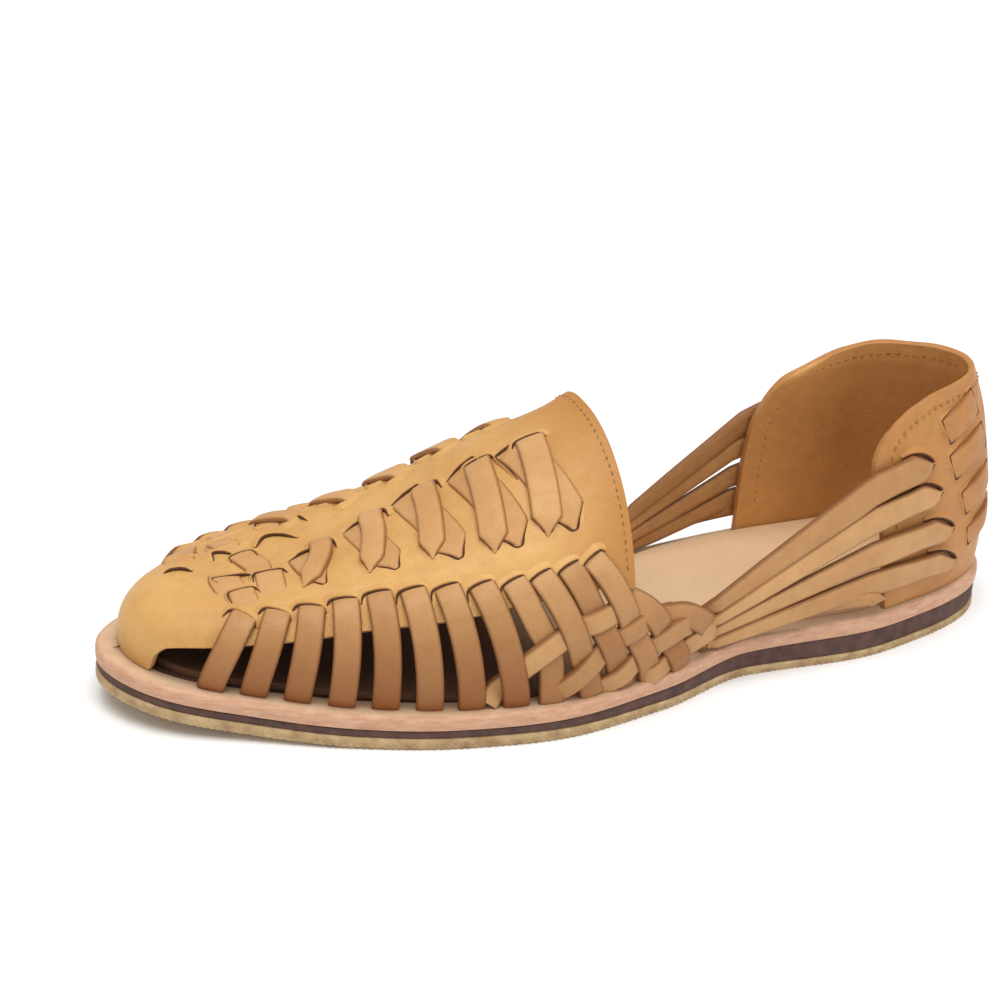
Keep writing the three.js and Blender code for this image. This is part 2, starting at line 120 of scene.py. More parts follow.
# Top straps: x and rise at the slit, x and rise at the tip, rises of both on the medial
# side, half-width.
OVER_STRAPS = [
    (206.5, 93, 217, 71, 110, 125, 3.1), (190, 97, 199, 69.5, 111, 125, 3.4),
    (176, 96, 183.5, 64, 112, 129, 3.6), (163.5, 91, 169.5, 52.5, 112, 133, 3.9),
    (150, 87, 156, 49, 112, 138, 4.1),
]
UNDER_STRAPS = [
    (216, 91, 211.5, 69, 110, 124, 3.6), (196.5, 94.5, 192.5, 65, 112, 125, 4.3),
    (181.5, 98, 177.5, 57, 113, 130, 4.9), (168, 93, 163.5, 49, 113, 135, 5.2),
    (155.5, 88, 149, 46, 113, 140, 5.4),
]
# Short bits near the toe: x and rise at the slit, x and rise at the end, half-width.
TOE_TWINS = 202  # sum of the rises of a bit and its twin on the medial side
TOE_BITS = [
    (247.5, 88, 238, 72, 4.4), (237.5, 77, 233, 58, 3.7), (227.8, 88, 226, 66, 3.9),
    (232.5, 99, 231.5, 84, 3.7),
]
TOE_SLITS = [
    [(243, 98), (239, 103), (234, 97)], [(225, 99), (219, 103.5), (211.5, 97)],
    [(256.5, 112), (255.5, 104), (257, 97)], [(212, 109), (207, 112), (205, 106)],
]
# Strips that come down into the waist weave, and the straps that cross them.
WEAVE_DOWN = [
    [(167.7, 42), (162.5, 24), (158.5, 13), (157, 0)],
    [(161, 40), (154, 22), (150, 11), (145.5, 0)],
    [(153.5, 39), (147, 23), (141, 10), (135.5, 0)],
    [(147, 38.5), (141.5, 28), (136, 16), (127, 0)],
    [(136.5, 21.5), (130.5, 17), (124, 9.5), (116.5, 0)],
    [(125.5, 12.5), (119, 12), (112, 9), (106, 4)],
]
WEAVE_UP = [
    [(174.5, 0.5), (168.5, 6.5), (164, 11), (158, 15), (148, 18.2), (139.5, 19), (134, 18)],
    [(157, 0.5), (153, 3), (143, 10), (130, 13.5), (121, 12.5)],
    [(143, 0.5), (131, 5.5), (118, 9), (110, 7.5)],
    [(129, 0.5), (118, 3), (111, 5), (105, 6)],
]
# Rear straps: low and high edge in front, x of the end, low and high edge there, upward bow.
REAR_STRAPS = [
    (22.6, 27.4, 35, 51.5, 60.5, 6), (19, 22.5, 31, 43, 51, 5.4),
    (15.6, 18.9, 25, 30.5, 38.5, 5), (12.3, 15.5, 22, 19.5, 27, 4.6),
]
# A fifth, narrow strap along the sole, with a loose pointed end.
LOW_STRAP = [(106, 2), (92, 3.2), (75, 4.2), (60, 4.2), (50, 3.4)]
LOW_HALF, LOW_WALL, LOW_TIP, LOW_TONE = 2.5, 1.6, 3.5, 0.3
# Segments woven through the back of the counter: x and rise at both ends, half-width.
BACK_WEAVE = [
    (28.5, 30.5, 12, 34.5, 4.3), (26, 23.3, 9.5, 27, 4.3), (20.5, 15.5, 7.5, 19, 4.2),
    (17, 8.5, 5, 11.5, 3.4),
]


# ---- the last's surface
def curve(rows, column):
    """A monotone cubic curve from a table's first column to another one."""
    x = np.array([row[0] for row in rows], float)
    y = np.array([row[column] for row in rows], float)
    step = np.diff(x)
    slope = np.diff(y) / step
    tangent = np.zeros_like(y)
    tangent[0], tangent[-1] = slope[0], slope[-1]
    for i in range(1, len(x) - 1):
        if slope[i - 1] * slope[i] > 0:
            near, far = 2 * step[i] + step[i - 1], step[i] + 2 * step[i - 1]
            tangent[i] = (near + far) / (near / slope[i - 1] + far / slope[i])

    def at(value):
        v = np.clip(value, x[0], x[-1])
        i = np.clip(np.searchsorted(x, v, side="right") - 1, 0, len(x) - 2)
        t = (v - x[i]) / step[i]
        start = (1 + 2 * t) * (1 - t) ** 2 * y[i] + t * (1 - t) ** 2 * step[i] * tangent[i]
        end = t * t * (3 - 2 * t) * y[i + 1] + t * t * (t - 1) * step[i] * tangent[i + 1]
        return start + end

    return at


def turn(share):
    return np.arccos(np.clip(1 - 2 * np.asarray(share, float), -1, 1))


PLAN_BY_TURN = [(float(turn(row[0])), row[1], row[2]) for row in SOLE_PLAN]
lateral_half, medial_half = curve(PLAN_BY_TURN, 1), curve(PLAN_BY_TURN, 2)
crepe_top, midsole_top, welt_top = (curve(SOLE_STACK, k) for k in (1, 2, 3))
crest_z, crest_y, side_power, rise_power, bulge = (curve(LAST_SECTIONS, k) for k in range(1, 6))
free_edge, slit_line = curve(FLANK_LINES, 1), curve(FLANK_LINES, 2)
counter_rim = curve(COUNTER_RIM, 1)
lateral_front, medial_front = curve(COUNTER_FRONT, 1), curve(COUNTER_FRONT, 2)


def spring(x):
    run = (np.asarray(x) / SOLE_LENGTH - SPRING_START) / (1 - SPRING_START)
    return TOE_SPRING * np.clip(run, 0, 1) ** 2


def plan(side, share, inset):
    """x and y of the sole's outline, moved in by the insets at heel, toe and sides."""
    heel, toe, flank = inset
    angle = turn(share)
    half = (lateral_half(angle) + medial_half(angle)) / 2
    run = (share - TIP_CURVE_START) / (1 - TIP_CURVE_START)
    bend = TIP_OFFSET * np.clip(run, 0, 1) ** 2
    middle = (lateral_half(angle) - medial_half(angle)) / 2 + bend
    x = heel + (SOLE_LENGTH - heel - toe) * share
    return x, middle + side * half * (1 - flank / BALL_HALF_WIDTH)


FOOT_LENGTH = SOLE_LENGTH - FEATHER[0] - FEATHER[1]
TIP_X = SOLE_LENGTH - FEATHER[1]


def share_at(x):
    return (x - FEATHER[0]) / FOOT_LENGTH


def foot_point(side, x):
    _, y = plan(side, share_at(x), FEATHER)
    return np.stack([x, y, welt_top(x) + spring(x) + GAP], -1)


def crest_point(x):
    run = np.clip((x - FAN_START_X) / (TIP_X - FAN_START_X), 0, 1)
    fan = (FAN_CREST_X - FAN_START_X) * (1 - (1 - run) ** FAN_POWER)
    crest_x = np.where(x > FAN_START_X, FAN_START_X + fan, np.maximum(x, HEEL_AXIS_X))
    return np.stack([crest_x, crest_y(x), crest_z(x)], -1)


def section_point(side, x, climb):
    """Outer face of the last on one side, with climb from 0 to half pi."""
    foot, crest = foot_point(side, x), crest_point(x)
    out = np.maximum(np.cos(climb), 0) ** side_power(x) + bulge(x) * np.sin(2 * climb)
    up = np.maximum(np.sin(climb), 0) ** rise_power(x)
    reach = np.stack([out, out, 1 - up], -1)
    return crest + (foot - crest) * reach


def by_turn(around, climb):
    x = FEATHER[0] + FOOT_LENGTH * (1 + np.cos(around)) / 2
    return section_point(np.where(np.sin(around) < 0, -1, 1), x, climb)


def unit(vectors):
    length = np.linalg.norm(vectors, axis=-1, keepdims=True)
    return vectors / np.maximum(length, 1e-9)


def split_rise(rise):
    rise = np.asarray(rise, float)
    side = np.where(rise > 90, -1, 1)
    return side, np.radians(np.where(rise > 90, 180 - rise, rise))


def last_point(x, rise):
    side, climb = split_rise(rise)
    return section_point(side, np.asarray(x, float), climb)


def last_normal(x, rise):
    delta = 0.01
    x = np.asarray(x, float)
    side, climb = split_rise(rise)
    around = side * np.arccos(np.clip(2 * share_at(x) - 1, -1, 1))
    on_crest = np.abs(climb - math.pi / 2) < delta
    around = np.where(on_crest, np.maximum(np.abs(around), CREST_TURN_LEAST), around)
    along = by_turn(around + delta, climb) - by_turn(around - delta, climb)
    low = np.maximum(climb - delta, 0)
    across = by_turn(around, climb + delta) - by_turn(around, low)
    normal = unit(np.cross(along, across))
    middle = (foot_point(1, x) + foot_point(-1, x)) / 2
    away = np.sum(normal * (section_point(side, x, climb) - middle), -1, keepdims=True)
    return np.where(away < 0, -normal, normal)


def on_last(path):
    """Points and normals of the last along a path of (x, rise)."""
    x, rise = np.asarray(path, float).T
    return last_point(x, rise), last_normal(x, rise)


def lifted(x, rise, lift):
    """Points at a height over the last's outer face."""
    lift = np.asarray(lift, float)
    return last_point(x, rise) + last_normal(x, rise) * lift[..., None]


def rise_at(side, x, height):
    """The rise at which the last reaches a height on one side."""
    foot = foot_point(side, x)[..., 2]
    share = np.clip((height - foot) / (crest_z(x) - foot), 0, 1)
    climb = np.degrees(np.arcsin(share ** (1 / rise_power(x))))
    return climb if side > 0 else 180 - climb


def mirrored(nodes):
    return [(x, 180 - rise) for x, rise in nodes]


# ---- meshes
def frame_origin():
    """The frame's origin in this script's millimetres."""
    shares = np.linspace(0, 1, 400)
    y = np.concatenate([plan(side, shares, FLUSH)[1] for side in (1, -1)])
    middle = (y.min() + y.max()) / 2
    return np.array([-cad_low.x * 1000, middle - (cad_low.y + cad_high.y) * 500, 0])


ORIGIN = frame_origin()
SHARP_ANGLE = math.radians(50)
WELD = 0.02


def to_frame(points):
    return (points - ORIGIN) / 1000


def add_object(name, data):
    item = bpy.data.objects.new(name, data)
    bpy.context.scene.collection.objects.link(item)
    return item


class Part:
    """A closed sheet of faces, with the wear, tone and material numbers it is drawn with."""

    def __init__(self, points, faces, wear=0.0, tone=0.0, materials=None):
        self.points = np.asarray(points, float).reshape(-1, 3)
        self.faces = faces
        self.wear = np.broadcast_to(wear, len(self.points))
        self.tone = np.broadcast_to(tone, len(self.points))
        self.materials = materials or [0] * len(faces)


def build(name, parts, materials, replaces, merge=0.0):
    """One object in the frame from several parts, with materials given by their names in
    MATERIALS. merge is a welding distance."""
    points = np.concatenate([part.points for part in parts])
    layers = {"wear": [part.wear for part in parts], "tone": [part.tone for part in parts]}
    faces, indices, start = [], [], 0
    for part in parts:
        faces += [[start + k for k in face] for face in part.faces]
        indices += part.materials
        start += len(part.points)
    mesh = bpy.data.meshes.new(name)
    mesh.from_pydata(to_frame(points).tolist(), [], faces)
    for label, values in layers.items():
        attribute = mesh.attributes.new(label, "FLOAT", "POINT")
        attribute.data.foreach_set("value", np.concatenate(values).astype(np.float32))
    for key in materials:
        mesh.materials.append(MATERIALS[key])
    mesh.polygons.foreach_set("material_index", indices)
    work = bmesh.new()
    work.from_mesh(mesh)
    if merge:
        bmesh.ops.remove_doubles(work, verts=work.verts, dist=merge / 1000)
    bmesh.ops.recalc_face_normals(work, faces=work.faces)
    for face in work.faces:
        face.smooth = True
    work.to_mesh(mesh)
    work.free()
    mesh.set_sharp_from_angle(angle=SHARP_ANGLE)
    piece = add_object(name, mesh)
    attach(piece, "root")
    if replaces:
        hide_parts(*replaces)


def grid_faces(index, columns, rows):
    """Faces between the corners of a grid, numbered by index(column, row)."""
    return [[index(i, k), index(i, k + 1), index(i + 1, k + 1), index(i + 1, k)]
            for i in range(columns) for k in range(rows)]


def ring_faces(count, size):
    """Faces between closed rings of points."""
    return grid_faces(lambda i, k: i * size + k % size, count - 1, size)


def sweep(rings, wear=0.0, tone=0.0):
    """A closed tube through rings of points, capped at both ends."""
    count, size = rings.shape[:2]
    faces = ring_faces(count, size)
    faces.append(list(range(size)))
    faces.append([(count - 1) * size + k for k in range(size)])
    wear = np.broadcast_to(wear, (count, size)).ravel()
    tone = np.broadcast_to(np.asarray(tone, float).reshape(-1, 1), (count, size)).ravel()
    return Part(rings, faces, wear, tone)


def rings_round(centres, across, normals, out, up):
    """Rings of points round a line, from distances out and up for each ring."""
    return centres[:, None] + across[:, None] * out[..., None] + normals[:, None] * up[..., None]


def run_along(points):
    """Distance along a line of points, at each point."""
    steps = np.linalg.norm(np.diff(points, axis=0), axis=1)
    return np.concatenate([[0], np.cumsum(steps)])


def with_middle(nodes):
    """The nodes, with a third one between them if there are only two."""
    nodes = np.asarray(nodes, float)
    if len(nodes) > 2:
        return nodes
    return np.array([nodes[0], nodes.mean(0), nodes[1]])


def spread_evenly(nodes, places, spacing, least):
    """Samples of a smooth curve through the nodes, evenly spaced by the nodes' places."""
    run = run_along(places)
    at = np.linspace(0, run[-1], max(int(run[-1] / spacing), least) + 1)
    columns = [curve(list(zip(run, column)), 1)(at) for column in nodes.T]
    return np.stack(columns, -1)


def resampled(nodes, spacing):
    """Points on a smooth curve through the nodes, at an even spacing."""
    nodes = with_middle(nodes)
    return spread_evenly(nodes, nodes, spacing, 6)


def surface_path(nodes, spacing=1.1):
    """(x, rise) samples of a path on the last, evenly spaced in millimetres."""
    nodes = with_middle(nodes)
    return spread_evenly(nodes, last_point(*nodes.T), spacing, 8)


# Loop of a strip's section: share of the half-width, roundings inwards, share of the
# thickness, roundings down, wear.
STRIP_LOOP = [
    (-1, 0.6, 0, 0, 0.6), (-0.33, 0, 0, 0, 0), (0.33, 0, 0, 0, 0), (1, -0.6, 0, 0, 0.6),
    (1, 0, 0, 0.5, 1), (1, 0, 1, -1, 1), (1, -0.25, 1, -0.4, 1), (1, -0.8, 1, -0.06, 0.7),
    (1, -2, 1, 0, 0.15), (0.4, 0, 1, 0, 0), (0, 0, 1, 0, 0), (-0.4, 0, 1, 0, 0),
    (-1, 2, 1, 0, 0.15), (-1, 0.8, 1, -0.06, 0.7), (-1, 0.25, 1, -0.4, 1), (-1, 0, 1, -1, 1),
    (-1, 0, 0, 0.5, 1),
]
ROUNDING = 0.55  # radius of a strip's upper edges


def ribbon(centres, normals, across, half, thick, tone, crown=0.25):
    """A strip on the centre line of its underside. crown is how far its top swells."""
    half, thick = (np.broadcast_to(size, len(centres))[:, None] for size in (half, thick))
    loop = np.array(STRIP_LOOP)
    rounding = np.minimum(ROUNDING, half * 0.3)
    out = loop[:, 0] * half + loop[:, 1] * rounding
    up = loop[:, 2] * thick + loop[:, 3] * np.minimum(rounding, thick * 0.45)
    up = up + loop[:, 2] * crown * (1 - (out / np.maximum(half, 0.1)) ** 2)
    return sweep(rings_round(centres, across, normals, out, up), loop[:, 4], tone)


def tapered(distance, length):
    """Share of the half-width near a pointed end, or 1 where no end is pointed."""
    return np.clip(distance / length, 0.12, 1) if length else np.ones_like(distance)


def hand_of(rise):
    """Which way round the last a place's side runs."""
    return -1 if rise > 90 else 1


# How fast the painted shade on a strip deepens towards its end.
PAINTED_SHADE_POWER = 0.7


def strip(nodes, half, lifts, thick=STRIP_WALL, tip=0.0, tone=0.0, painted_shade=0.0):
    """A strip along a path on the last. lifts lists (share, height of its underside), tip is
    the length of a pointed end, and the last argument is painted shade, which darkens the strip
    towards that end."""
    path = surface_path(nodes)
    share = np.linspace(0, 1, len(path))
    points, normals = on_last(path)
    centres = points + normals * curve(lifts, 1)(share)[:, None]
    along = unit(np.gradient(centres, axis=0))
    hand = hand_of(nodes[0][1])
    across = unit(np.cross(normals, along)) * hand
    normals = unit(np.cross(along, across)) * hand
    run = run_along(centres)
    width = half * tapered(run[-1] - run, tip)
    # Painted shade: the strip darkens towards its end, where less light reaches it.
    return ribbon(centres, normals, across, width, thick, tone + painted_shade * share ** PAINTED_SHADE_POWER)


# ---- slits
# Section of a slit's raised lip: outwards from the strip, up, wear.
LIP_LOOP = [(0.1, -0.7, 1), (0, 0.5, 1), (0.12, 0.95, 0.7), (0.55, 1.15, 0.2), (1.1, 0.95, 0),
            (2.1, 0.4, 0), (3.2, -0.1, 0), (3.2, -0.7, 0)]
# Outlines round a strip's end, in half-widths: across (negative towards the toe), and along
# the strip from its end.
ARCH = [(-1.3, 0.95), (-1.2, 0.4), (-0.9, 0.08), (-0.1, -0.03), (0.85, 0.1), (1.15, 0.5)]
HOOK = [(-1.0, 2.6), (-1.0, 1.4), (-1.02, 0.5), (-0.95, 0.1), (-0.2, 0), (0.9, 0.1)]
POINT = [(-1.0, 1.15), (-0.52, 0.58), (-0.08, 0.02), (0.08, 0.02), (0.52, 0.58), (1.0, 1.15)]
SHORT_HOOK = [(-1.1, 1.6), (-1.15, 0.6), (-0.9, 0.1), (0, 0), (0.9, 0.2), (1.05, 0.7)]
FLUSH_END = [(-1.02, 1.2), (-1.02, 0.3), (-0.95, 0.0), (0.95, 0.0), (1.02, 0.3), (1.02, 1.2)]
HOOD_OVERLAP = 1.5  # how far an arch or a hook stands over the strip's end


def round_tube(radius):
    """Distances out and up of a six-sided tube."""
    turns = np.linspace(0, 2 * math.pi, 7)[:-1]
    return np.cos(turns) * radius, np.sin(turns) * radius


def slit(points, normals, centre, height=1.0, gauge=0.34, reach=1.0):
    """A lip along a line, with the strip on the side of the centre, and a dark tube under it that
    paints the shadow in the slit. gauge is the tube's radius, and reach the lip's width as a share
    of the usual one."""
    along = unit(np.gradient(points, axis=0))
    outward = unit(np.cross(along, normals))
    middle = len(points) // 2
    if np.dot(outward[middle], points[middle] - centre) < 0:
        outward = -outward
    share = np.linspace(0, 1, len(points))
    swell = np.clip(np.minimum(share, 1 - share) / 0.22, 0.05, 1)[:, None] ** 0.7
    loop = np.array(LIP_LOOP)
    out = loop[:, 0] * reach * (0.35 + 0.65 * swell)
    up = np.where(loop[:, 1] > 0, loop[:, 1] * height * swell, loop[:, 1])
    lip = sweep(rings_round(points, outward, normals, out, up), loop[:, 2])
    # A dark tube under the lip paints the shadow in the slit.
    out, up = round_tube(gauge * (0.3 + 0.7 * swell))
    shade_tube = sweep(rings_round(points, outward, normals, out - 0.12, up + 0.55 * height * swell))
    return lip, shade_tube


def stepped(start, offsets):
    """(x, rise) after small steps in millimetres from a place on the last."""
    x, rise = start
    delta = 0.5
    by_x = (last_point(x + delta, rise) - last_point(x - delta, rise)) / (2 * delta)
    by_rise = (last_point(x, rise + delta) - last_point(x, rise - delta)) / (2 * delta)
    return start + offsets @ np.linalg.pinv(np.stack([by_x, by_rise]))


def slit_round(end, inner, half, outline, height=1.0):
    """The slit at a strip's end; inner is another place on the strip's path."""
    places, normals = on_last([end, inner])
    normal = normals[0]
    along = places[1] - places[0]
    along = unit(along - normal * np.dot(along, normal))
    across = np.cross(normal, along) * hand_of(end[1])
    spots = resampled(outline, 0.12)
    overlap = HOOD_OVERLAP if outline in (ARCH, HOOK, SHORT_HOOK) else 0
    offsets = across * (spots[:, :1] * half) + along * (spots[:, 1:] * half + overlap)
    reach = 0.85 if outline is ARCH else 0.35
    return slit(*on_last(stepped(end, offsets)), places[0] + along * 3, height, reach=reach)


# ---- materials
def rgb(red, green, blue):
    """Linear colour from 0-255 display values."""
    values = np.array([red, green, blue]) / 255
    linear = np.where(values <= 0.04045, values / 12.92, ((values + 0.055) / 1.055) ** 2.4)
    return (*linear.tolist(), 1)


class Shader:
    """A short way to add and link the nodes of one material."""

    def __init__(self, name):
        self.material = bpy.data.materials.new(name)
        self.material.use_nodes = True
        self.nodes = self.material.node_tree.nodes
        self.links = self.material.node_tree.links
        self.surface = self.nodes["Principled BSDF"]
        self.place = self.nodes.new("ShaderNodeTexCoord").outputs["Object"]

    def link(self, source, target):
        self.links.new(source, target)

    def add(self, kind, values=()):
        """A node, with constant values on its input sockets."""
        node = self.nodes.new("ShaderNode" + kind)
        for socket, value in dict(values).items():
            node.inputs[socket].default_value = value
        return node

    def noise(self, scale, detail=4, stretch=(1, 1, 1), roughness=0.55):
        node = self.add("TexNoise", {"Scale": scale, "Detail": detail, "Roughness": roughness})
        mapping = self.add("Mapping", {"Scale": stretch})
        self.link(self.place, mapping.inputs["Vector"])
        self.link(mapping.outputs["Vector"], node.inputs["Vector"])
        return node.outputs["Fac"]

    def cells(self, scale):
        node = self.add("TexVoronoi", {"Scale": scale})
        node.feature = "DISTANCE_TO_EDGE"
        self.link(self.place, node.inputs["Vector"])
        return node.outputs["Distance"]

    def attribute(self, name):
        node = self.add("Attribute")
        node.attribute_name = name
        return node.outputs["Fac"]

    def fit(self, value, low, high, to_low, to_high):
        node = self.add("MapRange", {"From Min": low, "From Max": high,
                                     "To Min": to_low, "To Max": to_high})
        self.link(value, node.inputs["Value"])
        return node.outputs["Result"]

    def mix(self, factor, first, second):
        node = self.add("Mix")
        node.data_type = "RGBA"
        self.link(factor, node.inputs["Factor"])
        for value, socket in ((first, node.inputs["A"]), (second, node.inputs["B"])):
            if isinstance(value, tuple):
                socket.default_value = value
            else:
                self.link(value, socket)
        return node.outputs["Result"]

    def bump(self, height, distance, strength=1.0):
        node = self.add("Bump", {"Strength": strength, "Distance": distance})
        self.link(height, node.inputs["Height"])
        earlier = self.surface.inputs["Normal"]
        if earlier.is_linked:
            self.link(earlier.links[0].from_socket, node.inputs["Normal"])
        self.link(node.outputs["Normal"], earlier)

    def finish(self, colour, rough_low, rough_high, rough_scale=300):
        self.link(colour, self.surface.inputs["Base Color"])
        roughness = self.fit(self.noise(rough_scale), 0.3, 0.7, rough_low, rough_high)
        self.link(roughness, self.surface.inputs["Roughness"])
        return self.material


GRAIN = 0.00012
LEATHER_SPECULAR = 0.3


def leather(name, light, dark, edge, rough, mottle):
    """Smooth full-grain leather: cloudy colour, fine pores, creases and burnished edges."""
    s = Shader(name)
    cloud = s.fit(s.noise(45, 3), 0.35, 0.65, 0, 1)
    colour = s.mix(cloud, light, tuple(a + 0.5 * mottle * (b - a) for a, b in zip(light, dark)))
    colour = s.mix(s.fit(s.noise(260, 5), 0.45, 0.72, 0, 0.35 * mottle), colour, dark)
    # The tone attribute pulls the colour to the dark one: the leather's own tone, which differs
    # from piece to piece, and painted shade on the strips' ends, the counter's lining and the
    # insole.
    colour = s.mix(s.attribute("tone"), colour, dark)
    colour = s.mix(s.fit(s.attribute("wear"), 0.35, 1, 0, 0.8), colour, edge)
    s.bump(s.noise(120, 4), 0.0009, 0.5)
    s.bump(s.cells(1500), GRAIN)
    s.bump(s.noise(2200, 3), GRAIN)
    s.surface.inputs["Specular IOR Level"].default_value = LEATHER_SPECULAR
    return s.finish(colour, *rough)


def raw_edge(name, light, dark, stretch=(1, 1, 5)):
    """Cut edge of stacked leather, with streaks along its layers."""
    s = Shader(name)
    colour = s.mix(s.fit(s.noise(190, 6, stretch, 0.7), 0.35, 0.68, 0, 1), light, dark)
    s.bump(s.noise(420, 5, stretch, 0.7), 0.0003)
    return s.finish(colour, 0.55, 0.75)


def foam(name, light, dark, bump=0.0003):
    """Crepe or foam: pitted, matt and slightly mottled."""
    s = Shader(name)
    colour = s.mix(s.fit(s.noise(240, 6), 0.35, 0.7, 0, 1), light, dark)
    s.bump(s.cells(900), bump)
    s.bump(s.noise(1300, 4), bump)
    return s.finish(colour, 0.7, 0.9)


def painted_slit_shadow(name):
    """Dark colour of the tube that paints the shadow inside a slit."""
    s = Shader(name)
    colour = s.mix(s.noise(600), rgb(88, 48, 20), rgb(60, 30, 14))
    s.bump(s.noise(1500), 0.0001)
    return s.finish(colour, 0.8, 0.95)


def thread(name, light, dark):
    """Waxed stitching thread with a twist."""
    s = Shader(name)
    colour = s.mix(s.fit(s.noise(1200, 2), 0.4, 0.6, 0, 1), light, dark)
    s.bump(s.noise(3000, 2), 0.00015)
    return s.finish(colour, 0.6, 0.8)


SMOOTH, DRY = (0.38, 0.55), (0.5, 0.7)
# Leathers: key, name, light, dark and edge colours, roughness, mottle.
LEATHERS = [
    ("vamp", "vamp_leather", (208, 161, 96), (178, 122, 60), (150, 96, 48), SMOOTH, 0.7),
    ("top", "top_strap_leather", (206, 160, 106), (178, 124, 70), (140, 88, 44), SMOOTH, 0.8),
    ("strap", "strap_leather", (203, 157, 104), (132, 74, 24), (118, 70, 32), SMOOTH, 0.45),
    ("counter", "counter_leather", (190, 134, 76), (160, 104, 52), (132, 80, 40), SMOOTH, 1),
    ("lining", "counter_lining", (214, 158, 94), (150, 94, 42), (120, 72, 36), DRY, 0.4),
    # The insole's dark colour is the painted shade under the forefoot.
    ("insole", "insole_leather", (212, 178, 140), (104, 72, 50), (150, 108, 72), (0.5, 0.68),
     0.16),
    ("welt_top", "welt_leather", (206, 174, 142), (184, 144, 112), (186, 142, 110), DRY, 1),
]
MATERIALS = {
    "flesh": foam("leather_flesh_side", rgb(104, 70, 48), rgb(78, 50, 34)),
    "cut": raw_edge("cut_leather_edge", rgb(208, 164, 112), rgb(168, 118, 72), (1, 1, 1)),
    "welt_edge": raw_edge("welt_edge", rgb(212, 168, 136), rgb(188, 138, 108)),
    "midsole": foam("midsole_foam", rgb(94, 64, 54), rgb(68, 46, 40), 0.00012),
    "crepe": foam("crepe_rubber", rgb(196, 168, 124), rgb(160, 128, 88)),
    "shade_tube": painted_slit_shadow("slit_shadow_paint"),
    "thread": thread("thread", rgb(176, 120, 66), rgb(130, 82, 44)),
}
for key, name, light, dark, edge, rough, mottle in LEATHERS:
    MATERIALS[key] = leather(name, rgb(*light), rgb(*dark), rgb(*edge), rough, mottle)


# ---- the sole
OUTLINE_STEPS = 330  # per side
ACROSS_STEPS = 10


def outline(side, inset):
    """Evenly spaced points of one side of the sole's plan."""
    share = (1 - np.cos(np.linspace(0, math.pi, 900))) / 2
    x, y = plan(side, share, inset)
    run = np.concatenate([[0], np.cumsum(np.hypot(np.diff(x), np.diff(y)))])
    at = np.linspace(0, run[-1], OUTLINE_STEPS + 1)
    return np.interp(at, run, x), np.interp(at, run, y)


def sole_layer(inset, bottom, top, edge, dish=None, teeth=0.0):
    """A layer of the sole. edge lists (inset, share of the height, material) of the side
    wall's rings from below; dish moves the top, and teeth is the depth of a serration."""
    points, faces, materials = [], [], []
    size = OUTLINE_STEPS + 1

    def add_grid(index, columns, material):
        grid = grid_faces(index, columns, OUTLINE_STEPS)
        faces.extend(grid)
        materials.extend([material] * len(grid))

    def rim(ring, side, k):
        return (ring * 2 + side) * size + k

    for inward, up, _ in edge:
        for side in (1, -1):
            x, y = outline(side, tuple(value + inward for value in inset))
            low = bottom(x)
            if up < 0.5:
                y = y - side * (np.arange(len(x)) % 2) * teeth
            points.append(np.stack([x, y, spring(x) + low + (top(x) - low) * up], -1))
    for ring in range(len(edge) - 1):
        for side in (0, 1):
            add_grid(lambda i, k, at=(ring, side): rim(at[0] + i, at[1], k), 1, edge[ring][2])
    for ring in (0, len(edge) - 1):
        start = len(points) * size
        for blend in np.arange(1, ACROSS_STEPS) / ACROSS_STEPS:
            line = points[2 * ring] * (1 - blend) + points[2 * ring + 1] * blend
            if ring and dish:
                line[:, 2] += dish(line[:, 0], blend)
            points.append(line)

        def cap(step, k, ring=ring, start=start):
            if step in (0, ACROSS_STEPS):
                return rim(ring, step // ACROSS_STEPS, k)
            return start + (step - 1) * size + k

        add_grid(cap, ACROSS_STEPS, edge[ring][2])
    return Part(np.concatenate(points), faces, materials=materials)


def insole_dish(x, blend):
    """The foot has pressed the middle of the insole down a little."""
    hollow = -0.5 * np.sin(math.pi * blend) * np.clip((x - 10) / 30, 0, 1)
    return hollow * np.clip((235 - x) / 30, 0, 1)


def build_sole():
    crepe = sole_layer(FLUSH, lambda x: 0 * x, crepe_top,
                       [(0.5, 0, 0), (0.1, 0.12, 0), (0, 0.42, 0), (0.15, 0.6, 0),
                        (0.1, 0.9, 0), (0.4, 1, 0)], teeth=0.5)
    build("crepe_outsole", [crepe], ["crepe"], ["outsole"], WELD)
    midsole = sole_layer(FLUSH, lambda x: crepe_top(x) + 0.05, midsole_top,
                         [(0.9, 0, 0), (0.45, 0.1, 0), (0.35, 0.5, 0), (0.45, 0.92, 0),
                          (0.8, 1, 0)])
    build("midsole_layer", [midsole], ["midsole"], ["midsole"], WELD)
    welt = sole_layer(FLUSH, lambda x: midsole_top(x) + 0.05, welt_top,
                      [(0.6, 0, 0), (0.1, 0.06, 0), (0, 0.3, 0), (0, 0.62, 0), (0.12, 0.8, 0),
                       (0.5, 0.94, 0), (1.1, 1, 1), (7.2, 1, 1), (7.6, 0.93, 2)])
    build("welt_layer", [welt], ["welt_edge", "welt_top", "flesh"], ["welt"],
          WELD)
    insole = sole_layer(INSOLE_INSET, welt_top, lambda x: welt_top(x) + 2.1,
                        [(0, 0, 0), (0, 0.6, 0), (0.3, 0.9, 0), (1.2, 1, 0)], insole_dish)
    # Painted shade: the insole is darkened under the closed forefoot, which the vamp shades.
    insole.tone = np.clip((insole.points[:, 0] - 138) / 22, 0, 1)
    build("insole_sheet", [insole], ["insole"], ["insole"], WELD)


# ---- shells
EDGE_ROUND = 0.4


def rounded_edge(outer, inner, beside):
    """The middle line of a wall's cut edge, pushed out to round it."""
    return (outer + inner) / 2 + EDGE_ROUND * unit(outer - beside)


